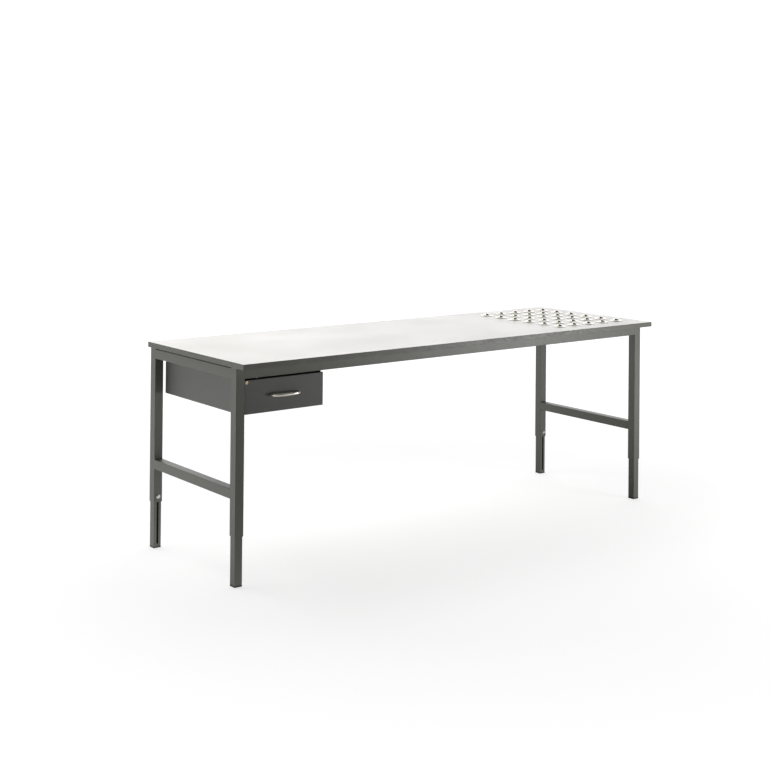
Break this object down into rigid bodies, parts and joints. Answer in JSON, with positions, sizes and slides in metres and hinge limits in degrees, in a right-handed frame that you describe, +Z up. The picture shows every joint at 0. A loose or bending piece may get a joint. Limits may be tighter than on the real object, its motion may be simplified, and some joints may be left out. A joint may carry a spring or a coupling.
{
  "type": "height adjustable workbench",
  "caption": "Long packing workbench with a laminate top, steel leg frames with telescopic legs, a locking drawer under the top and a field of ball transfer units at one end.",
  "frame": {"origin": "on the floor, under the middle of the worktop", "axes": "+X along the bench towards the ball units, +Y from the drawer side to the back edge, +Z up"},
  "size_m": [2.4, 0.75, 0.8938],
  "materials": {
    "board": "particle board faced with matt off-white laminate, with zinc-plated steel cups pressed in",
    "band": "matt dark grey edge strip",
    "frame_paint": "fine textured dark grey powder coat on steel tube",
    "drawer_paint": "semi-matt dark grey powder coat on sheet steel",
    "foot": "matt black moulded plastic",
    "zinc": "bright zinc plating on steel",
    "handle": "satin nickel",
    "lock": "pale nickel-washed brass",
    "ball": "polished hardened steel"
  },
  "bodies": {
    "root": {"worktop": "board", "edge_band": "band", "side_frame_left": "frame_paint", "side_frame_right": "frame_paint", "beam_front": "frame_paint", "beam_back": "frame_paint", "clamp_bolt_front_left": "zinc", "clamp_bolt_front_right": "zinc", "clamp_bolt_back_left": "zinc", "clamp_bolt_back_right": "zinc", "drawer_housing": "drawer_paint", "runner_fixed_left": "zinc", "runner_fixed_right": "zinc"},
    "drawer": {"drawer_tray": "drawer_paint", "drawer_front": "drawer_paint", "drawer_handle": "handle", "lock_barrel": "lock", "runner_drawer_left": "zinc", "runner_drawer_right": "zinc"},
    "runner_middle": {"runner_middle_left": "zinc", "runner_middle_right": "zinc"},
    "lock": {"lock_core": "lock"},
    "leg_body_front_left": {"leg_front_left": "frame_paint", "foot_front_left": "foot"},
    "leg_body_front_right": {"leg_front_right": "frame_paint", "foot_front_right": "foot"},
    "leg_body_back_left": {"leg_back_left": "frame_paint", "foot_back_left": "foot"},
    "leg_body_back_right": {"leg_back_right": "frame_paint", "foot_back_right": "foot"},
    "ball_1_1": {"ball_1_1": "ball"},
    "ball_1_2": {"ball_1_2": "ball"},
    "ball_1_3": {"ball_1_3": "ball"},
    "ball_1_4": {"ball_1_4": "ball"},
    "ball_1_5": {"ball_1_5": "ball"},
    "ball_1_6": {"ball_1_6": "ball"},
    "ball_2_1": {"ball_2_1": "ball"},
    "ball_2_2": {"ball_2_2": "ball"},
    "ball_2_3": {"ball_2_3": "ball"},
    "ball_2_4": {"ball_2_4": "ball"},
    "ball_2_5": {"ball_2_5": "ball"},
    "ball_2_6": {"ball_2_6": "ball"},
    "ball_3_1": {"ball_3_1": "ball"},
    "ball_3_2": {"ball_3_2": "ball"},
    "ball_3_3": {"ball_3_3": "ball"},
    "ball_3_4": {"ball_3_4": "ball"},
    "ball_3_5": {"ball_3_5": "ball"},
    "ball_3_6": {"ball_3_6": "ball"},
    "ball_4_1": {"ball_4_1": "ball"},
    "ball_4_2": {"ball_4_2": "ball"},
    "ball_4_3": {"ball_4_3": "ball"},
    "ball_4_4": {"ball_4_4": "ball"},
    "ball_4_5": {"ball_4_5": "ball"},
    "ball_4_6": {"ball_4_6": "ball"},
    "ball_5_1": {"ball_5_1": "ball"},
    "ball_5_2": {"ball_5_2": "ball"},
    "ball_5_3": {"ball_5_3": "ball"},
    "ball_5_4": {"ball_5_4": "ball"},
    "ball_5_5": {"ball_5_5": "ball"},
    "ball_5_6": {"ball_5_6": "ball"}
  },
  "joints": [
    {"name": "drawer_slide", "type": "slide", "parent": "root", "child": "drawer", "axis": [0, -1, 0], "range_m": [0, 0.48]},
    {"name": "runner_slide", "type": "slide", "parent": "root", "child": "runner_middle", "axis": [0, -1, 0], "range_m": [0, 0.24]},
    {"name": "lock_turn", "type": "hinge", "parent": "drawer", "child": "lock", "pos_m": [-1.1375, -0.303, 0.7947], "axis": [0, 1, 0], "range_deg": [0, 90]},
    {"name": "leg_front_left_slide", "type": "slide", "parent": "root", "child": "leg_body_front_left", "axis": [0, 0, 1], "range_m": [-0.105, 0.18]},
    {"name": "leg_front_right_slide", "type": "slide", "parent": "root", "child": "leg_body_front_right", "axis": [0, 0, 1], "range_m": [-0.105, 0.18]},
    {"name": "leg_back_left_slide", "type": "slide", "parent": "root", "child": "leg_body_back_left", "axis": [0, 0, 1], "range_m": [-0.105, 0.18]},
    {"name": "leg_back_right_slide", "type": "slide", "parent": "root", "child": "leg_body_back_right", "axis": [0, 0, 1], "range_m": [-0.105, 0.18]},
    {"name": "ball_roll_1_1", "type": "hinge", "parent": "root", "child": "ball_1_1", "pos_m": [0.68, -0.25, 0.8788], "axis": [0, 1, 0], "continuous": true},
    {"name": "ball_roll_1_2", "type": "hinge", "parent": "root", "child": "ball_1_2", "pos_m": [0.68, -0.15, 0.8788], "axis": [0, 1, 0], "continuous": true},
    {"name": "ball_roll_1_3", "type": "hinge", "parent": "root", "child": "ball_1_3", "pos_m": [0.68, -0.05, 0.8788], "axis": [0, 1, 0], "continuous": true},
    {"name": "ball_roll_1_4", "type": "hinge", "parent": "root", "child": "ball_1_4", "pos_m": [0.68, 0.05, 0.8788], "axis": [0, 1, 0], "continuous": true},
    {"name": "ball_roll_1_5", "type": "hinge", "parent": "root", "child": "ball_1_5", "pos_m": [0.68, 0.15, 0.8788], "axis": [0, 1, 0], "continuous": true},
    {"name": "ball_roll_1_6", "type": "hinge", "parent": "root", "child": "ball_1_6", "pos_m": [0.68, 0.25, 0.8788], "axis": [0, 1, 0], "continuous": true},
    {"name": "ball_roll_2_1", "type": "hinge", "parent": "root", "child": "ball_2_1", "pos_m": [0.78, -0.25, 0.8788], "axis": [0, 1, 0], "continuous": true},
    {"name": "ball_roll_2_2", "type": "hinge", "parent": "root", "child": "ball_2_2", "pos_m": [0.78, -0.15, 0.8788], "axis": [0, 1, 0], "continuous": true},
    {"name": "ball_roll_2_3", "type": "hinge", "parent": "root", "child": "ball_2_3", "pos_m": [0.78, -0.05, 0.8788], "axis": [0, 1, 0], "continuous": true},
    {"name": "ball_roll_2_4", "type": "hinge", "parent": "root", "child": "ball_2_4", "pos_m": [0.78, 0.05, 0.8788], "axis": [0, 1, 0], "continuous": true},
    {"name": "ball_roll_2_5", "type": "hinge", "parent": "root", "child": "ball_2_5", "pos_m": [0.78, 0.15, 0.8788], "axis": [0, 1, 0], "continuous": true},
    {"name": "ball_roll_2_6", "type": "hinge", "parent": "root", "child": "ball_2_6", "pos_m": [0.78, 0.25, 0.8788], "axis": [0, 1, 0], "continuous": true},
    {"name": "ball_roll_3_1", "type": "hinge", "parent": "root", "child": "ball_3_1", "pos_m": [0.88, -0.25, 0.8788], "axis": [0, 1, 0], "continuous": true},
    {"name": "ball_roll_3_2", "type": "hinge", "parent": "root", "child": "ball_3_2", "pos_m": [0.88, -0.15, 0.8788], "axis": [0, 1, 0], "continuous": true},
    {"name": "ball_roll_3_3", "type": "hinge", "parent": "root", "child": "ball_3_3", "pos_m": [0.88, -0.05, 0.8788], "axis": [0, 1, 0], "continuous": true},
    {"name": "ball_roll_3_4", "type": "hinge", "parent": "root", "child": "ball_3_4", "pos_m": [0.88, 0.05, 0.8788], "axis": [0, 1, 0], "continuous": true},
    {"name": "ball_roll_3_5", "type": "hinge", "parent": "root", "child": "ball_3_5", "pos_m": [0.88, 0.15, 0.8788], "axis": [0, 1, 0], "continuous": true},
    {"name": "ball_roll_3_6", "type": "hinge", "parent": "root", "child": "ball_3_6", "pos_m": [0.88, 0.25, 0.8788], "axis": [0, 1, 0], "continuous": true},
    {"name": "ball_roll_4_1", "type": "hinge", "parent": "root", "child": "ball_4_1", "pos_m": [0.98, -0.25, 0.8788], "axis": [0, 1, 0], "continuous": true},
    {"name": "ball_roll_4_2", "type": "hinge", "parent": "root", "child": "ball_4_2", "pos_m": [0.98, -0.15, 0.8788], "axis": [0, 1, 0], "continuous": true},
    {"name": "ball_roll_4_3", "type": "hinge", "parent": "root", "child": "ball_4_3", "pos_m": [0.98, -0.05, 0.8788], "axis": [0, 1, 0], "continuous": true},
    {"name": "ball_roll_4_4", "type": "hinge", "parent": "root", "child": "ball_4_4", "pos_m": [0.98, 0.05, 0.8788], "axis": [0, 1, 0], "continuous": true},
    {"name": "ball_roll_4_5", "type": "hinge", "parent": "root", "child": "ball_4_5", "pos_m": [0.98, 0.15, 0.8788], "axis": [0, 1, 0], "continuous": true},
    {"name": "ball_roll_4_6", "type": "hinge", "parent": "root", "child": "ball_4_6", "pos_m": [0.98, 0.25, 0.8788], "axis": [0, 1, 0], "continuous": true},
    {"name": "ball_roll_5_1", "type": "hinge", "parent": "root", "child": "ball_5_1", "pos_m": [1.08, -0.25, 0.8788], "axis": [0, 1, 0], "continuous": true},
    {"name": "ball_roll_5_2", "type": "hinge", "parent": "root", "child": "ball_5_2", "pos_m": [1.08, -0.15, 0.8788], "axis": [0, 1, 0], "continuous": true},
    {"name": "ball_roll_5_3", "type": "hinge", "parent": "root", "child": "ball_5_3", "pos_m": [1.08, -0.05, 0.8788], "axis": [0, 1, 0], "continuous": true},
    {"name": "ball_roll_5_4", "type": "hinge", "parent": "root", "child": "ball_5_4", "pos_m": [1.08, 0.05, 0.8788], "axis": [0, 1, 0], "continuous": true},
    {"name": "ball_roll_5_5", "type": "hinge", "parent": "root", "child": "ball_5_5", "pos_m": [1.08, 0.15, 0.8788], "axis": [0, 1, 0], "continuous": true},
    {"name": "ball_roll_5_6", "type": "hinge", "parent": "root", "child": "ball_5_6", "pos_m": [1.08, 0.25, 0.8788], "axis": [0, 1, 0], "continuous": true}
  ],
  "couplings": [
    {"joint": "runner_slide", "follows": "drawer_slide", "ratio": 0.5}
  ]
}
